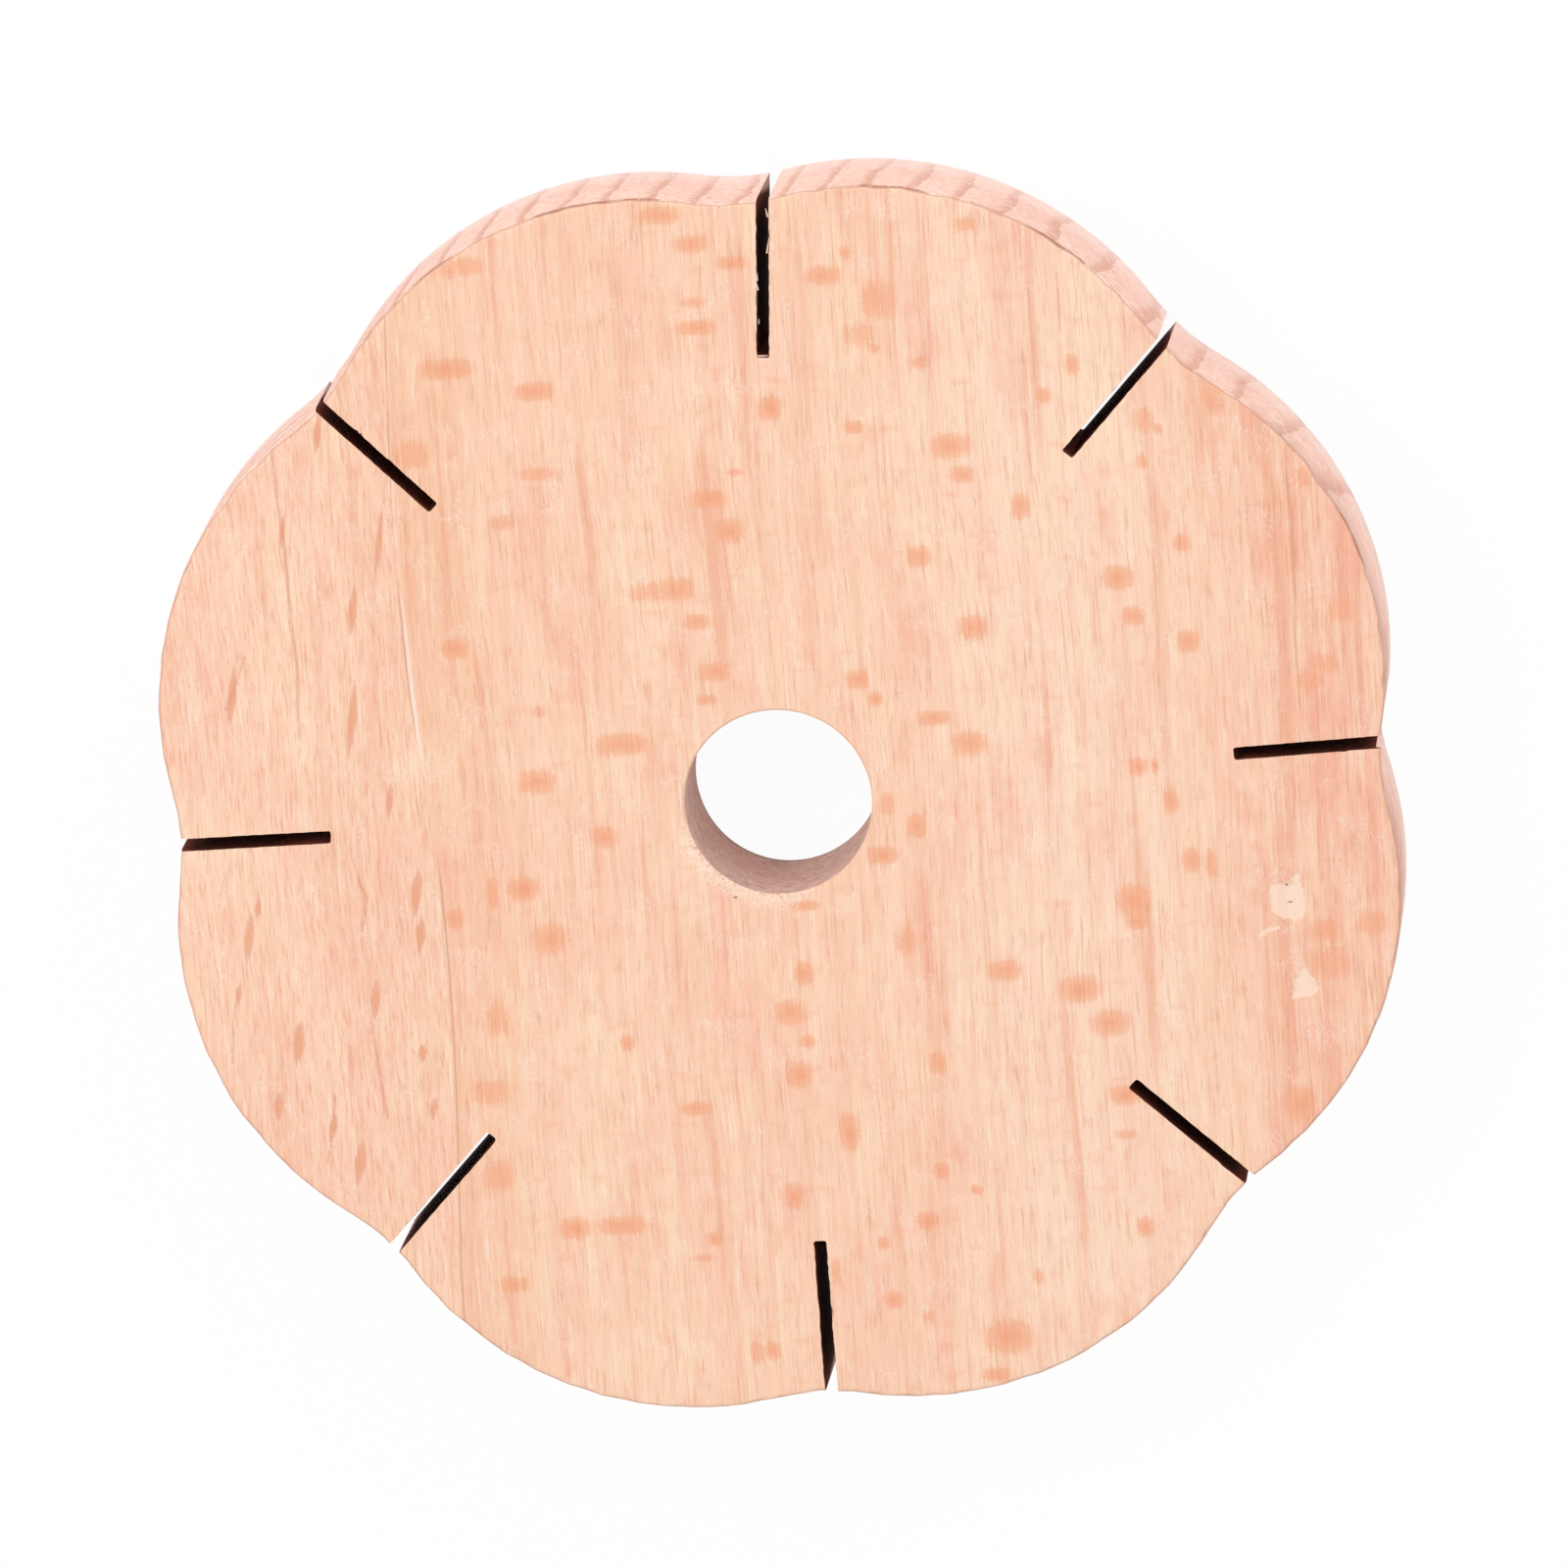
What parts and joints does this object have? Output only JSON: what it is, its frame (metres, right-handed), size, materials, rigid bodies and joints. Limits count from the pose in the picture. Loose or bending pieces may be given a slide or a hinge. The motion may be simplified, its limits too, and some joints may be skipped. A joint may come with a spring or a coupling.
{
  "type": "kumihimo braiding disk",
  "caption": "Flat wooden braiding disk with a petal outline, narrow thread kerfs cut in from its rim and a round central hole for the braid.",
  "frame": {"origin": "middle of the underside, on the axis of the bore", "axes": "+Z out of the worked face, +Y along the grain, with a kerf close to each of X and Y"},
  "size_m": [0.0961, 0.097, 0.012],
  "materials": {
    "beech": "sanded, unvarnished beech"
  },
  "bodies": {
    "root": {"braiding_disk": "beech"}
  },
  "joints": []
}
